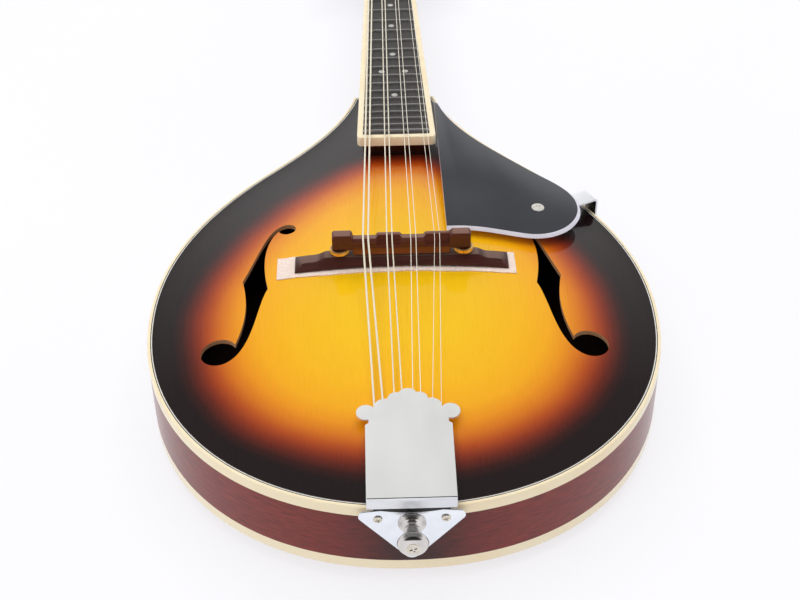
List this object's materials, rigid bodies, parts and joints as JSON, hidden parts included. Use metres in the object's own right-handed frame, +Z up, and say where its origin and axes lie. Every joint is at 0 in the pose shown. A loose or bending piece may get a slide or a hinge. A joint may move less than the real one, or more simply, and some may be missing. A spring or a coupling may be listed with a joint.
{
  "type": "mandolin",
  "caption": "Teardrop-bodied mandolin with an arched top, f-holes, a height-adjustable bridge, a covered tailpiece, a raised pickguard and geared tuning machines.",
  "frame": {"origin": "on the flat of the arched back, straight below the bridge", "axes": "+Y from the tail to the headstock, +X to the treble side, +Z up through the top"},
  "size_m": [0.255, 0.6684, 0.0782],
  "materials": {
    "sunburst_top": "high gloss lacquer, amber centre shading to near black at the edge",
    "mahogany": "high gloss lacquer over a red-brown stain",
    "inner_wood": "bare sanded wood",
    "spruce": "bare sanded wood",
    "cream_binding": "glossy cream plastic",
    "ebony": "satin black wood",
    "rosewood": "satin oiled wood",
    "bone": "polished bone-like plastic",
    "black_plastic": "glossy black plastic with a white layer at the bevel",
    "foam": "soft matt packing foam",
    "chrome": "bright plated metal",
    "steel": "plated screws and rod",
    "string_metal": "plain steel and wound strings",
    "brass": "knurled and turned brass",
    "pearl_button": "pearl-like plastic button on a plated shaft"
  },
  "bodies": {
    "instrument": {"top_plate": "sunburst_top", "back_plate": "mahogany", "rim": "mahogany", "top_binding": "cream_binding", "back_binding": "cream_binding", "top_lining": "spruce", "back_lining": "spruce", "tail_block": "inner_wood", "neck_block": "inner_wood", "tone_bar_bass": "spruce", "tone_bar_treble": "spruce", "neck": "mahogany", "heel_cap": "ebony", "fingerboard": "ebony", "fingerboard_binding": "cream_binding", "nut": "bone", "truss_rod": "steel", "headstock_overlay": "ebony", "truss_rod_cover": "black_plastic", "bridge_pad": "foam", "bridge_base": "rosewood", "bridge_post_bass": "brass", "bridge_post_treble": "brass", "tailpiece_base": "chrome", "end_pin": "chrome", "tailpiece_screw_bass": "steel", "tailpiece_screw_treble": "steel", "pickguard": "black_plastic", "pickguard_screw": "steel", "pickguard_bracket": "chrome", "tuner_plate_bass": "chrome", "tuner_plate_treble": "chrome", "string_g1": "string_metal", "string_g2": "string_metal", "string_d1": "string_metal", "string_d2": "string_metal", "string_a1": "string_metal", "string_a2": "string_metal", "string_e1": "string_metal", "string_e2": "string_metal"},
    "saddle": {"bridge_saddle": "rosewood"},
    "wheel_bass": {"thumbwheel_bass": "brass"},
    "wheel_treble": {"thumbwheel_treble": "brass"},
    "cover": {"tailpiece_cover": "chrome"},
    "key_bass_1": {"tuner_key_bass_1": "pearl_button"},
    "key_bass_2": {"tuner_key_bass_2": "pearl_button"},
    "key_bass_3": {"tuner_key_bass_3": "pearl_button"},
    "key_bass_4": {"tuner_key_bass_4": "pearl_button"},
    "key_treble_1": {"tuner_key_treble_1": "pearl_button"},
    "key_treble_2": {"tuner_key_treble_2": "pearl_button"},
    "key_treble_3": {"tuner_key_treble_3": "pearl_button"},
    "key_treble_4": {"tuner_key_treble_4": "pearl_button"},
    "post_bass_1": {"tuner_post_bass_1": "chrome"},
    "post_bass_2": {"tuner_post_bass_2": "chrome"},
    "post_bass_3": {"tuner_post_bass_3": "chrome"},
    "post_bass_4": {"tuner_post_bass_4": "chrome"},
    "post_treble_1": {"tuner_post_treble_1": "chrome"},
    "post_treble_2": {"tuner_post_treble_2": "chrome"},
    "post_treble_3": {"tuner_post_treble_3": "chrome"},
    "post_treble_4": {"tuner_post_treble_4": "chrome"}
  },
  "joints": [
    {"name": "saddle_height", "type": "slide", "parent": "instrument", "child": "saddle", "axis": [0, 0, 1], "range_m": [-0.001, 0]},
    {"name": "wheel_bass_turn", "type": "hinge", "parent": "saddle", "child": "wheel_bass", "pos_m": [-0.0315, 0, 0.06795], "axis": [0, 0, 1], "range_deg": [-720.1, 0]},
    {"name": "wheel_treble_turn", "type": "hinge", "parent": "saddle", "child": "wheel_treble", "pos_m": [0.0315, 0, 0.06795], "axis": [0, 0, 1], "range_deg": [-720.1, 0]},
    {"name": "cover_slide", "type": "slide", "parent": "instrument", "child": "cover", "axis": [0, -1, 0], "range_m": [0, 0.07]},
    {"name": "key_bass_1_turn", "type": "hinge", "parent": "instrument", "child": "key_bass_1", "pos_m": [-0.045, 0.37703, 0.02431], "axis": [-1, 0, 0], "continuous": true},
    {"name": "key_bass_2_turn", "type": "hinge", "parent": "instrument", "child": "key_bass_2", "pos_m": [-0.045, 0.39934, 0.01874], "axis": [-1, 0, 0], "continuous": true},
    {"name": "key_bass_3_turn", "type": "hinge", "parent": "instrument", "child": "key_bass_3", "pos_m": [-0.045, 0.42166, 0.01318], "axis": [-1, 0, 0], "continuous": true},
    {"name": "key_bass_4_turn", "type": "hinge", "parent": "instrument", "child": "key_bass_4", "pos_m": [-0.045, 0.44398, 0.00761], "axis": [-1, 0, 0], "continuous": true},
    {"name": "key_treble_1_turn", "type": "hinge", "parent": "instrument", "child": "key_treble_1", "pos_m": [0.045, 0.37703, 0.02431], "axis": [1, 0, 0], "continuous": true},
    {"name": "key_treble_2_turn", "type": "hinge", "parent": "instrument", "child": "key_treble_2", "pos_m": [0.045, 0.39934, 0.01874], "axis": [1, 0, 0], "continuous": true},
    {"name": "key_treble_3_turn", "type": "hinge", "parent": "instrument", "child": "key_treble_3", "pos_m": [0.045, 0.42166, 0.01318], "axis": [1, 0, 0], "continuous": true},
    {"name": "key_treble_4_turn", "type": "hinge", "parent": "instrument", "child": "key_treble_4", "pos_m": [0.045, 0.44398, 0.00761], "axis": [1, 0, 0], "continuous": true},
    {"name": "post_bass_1_turn", "type": "hinge", "parent": "instrument", "child": "post_bass_1", "pos_m": [-0.021, 0.38401, 0.02256], "axis": [0, 0.2419, 0.9703], "continuous": true},
    {"name": "post_bass_2_turn", "type": "hinge", "parent": "instrument", "child": "post_bass_2", "pos_m": [-0.021, 0.40633, 0.017], "axis": [0, 0.2419, 0.9703], "continuous": true},
    {"name": "post_bass_3_turn", "type": "hinge", "parent": "instrument", "child": "post_bass_3", "pos_m": [-0.021, 0.42865, 0.01144], "axis": [0, 0.2419, 0.9703], "continuous": true},
    {"name": "post_bass_4_turn", "type": "hinge", "parent": "instrument", "child": "post_bass_4", "pos_m": [-0.021, 0.45096, 0.00587], "axis": [0, 0.2419, 0.9703], "continuous": true},
    {"name": "post_treble_1_turn", "type": "hinge", "parent": "instrument", "child": "post_treble_1", "pos_m": [0.021, 0.38401, 0.02256], "axis": [0, 0.2419, 0.9703], "continuous": true},
    {"name": "post_treble_2_turn", "type": "hinge", "parent": "instrument", "child": "post_treble_2", "pos_m": [0.021, 0.40633, 0.017], "axis": [0, 0.2419, 0.9703], "continuous": true},
    {"name": "post_treble_3_turn", "type": "hinge", "parent": "instrument", "child": "post_treble_3", "pos_m": [0.021, 0.42865, 0.01144], "axis": [0, 0.2419, 0.9703], "continuous": true},
    {"name": "post_treble_4_turn", "type": "hinge", "parent": "instrument", "child": "post_treble_4", "pos_m": [0.021, 0.45096, 0.00587], "axis": [0, 0.2419, 0.9703], "continuous": true}
  ],
  "couplings": [
    {"joint": "wheel_bass_turn", "follows": "saddle_height", "rad_per_m": 12566},
    {"joint": "wheel_treble_turn", "follows": "saddle_height", "rad_per_m": 12566},
    {"joint": "post_bass_1_turn", "follows": "key_bass_1_turn", "ratio": 0.066667},
    {"joint": "post_bass_2_turn", "follows": "key_bass_2_turn", "ratio": 0.066667},
    {"joint": "post_bass_3_turn", "follows": "key_bass_3_turn", "ratio": 0.066667},
    {"joint": "post_bass_4_turn", "follows": "key_bass_4_turn", "ratio": 0.066667},
    {"joint": "post_treble_1_turn", "follows": "key_treble_1_turn", "ratio": -0.066667},
    {"joint": "post_treble_2_turn", "follows": "key_treble_2_turn", "ratio": -0.066667},
    {"joint": "post_treble_3_turn", "follows": "key_treble_3_turn", "ratio": -0.066667},
    {"joint": "post_treble_4_turn", "follows": "key_treble_4_turn", "ratio": -0.066667}
  ]
}
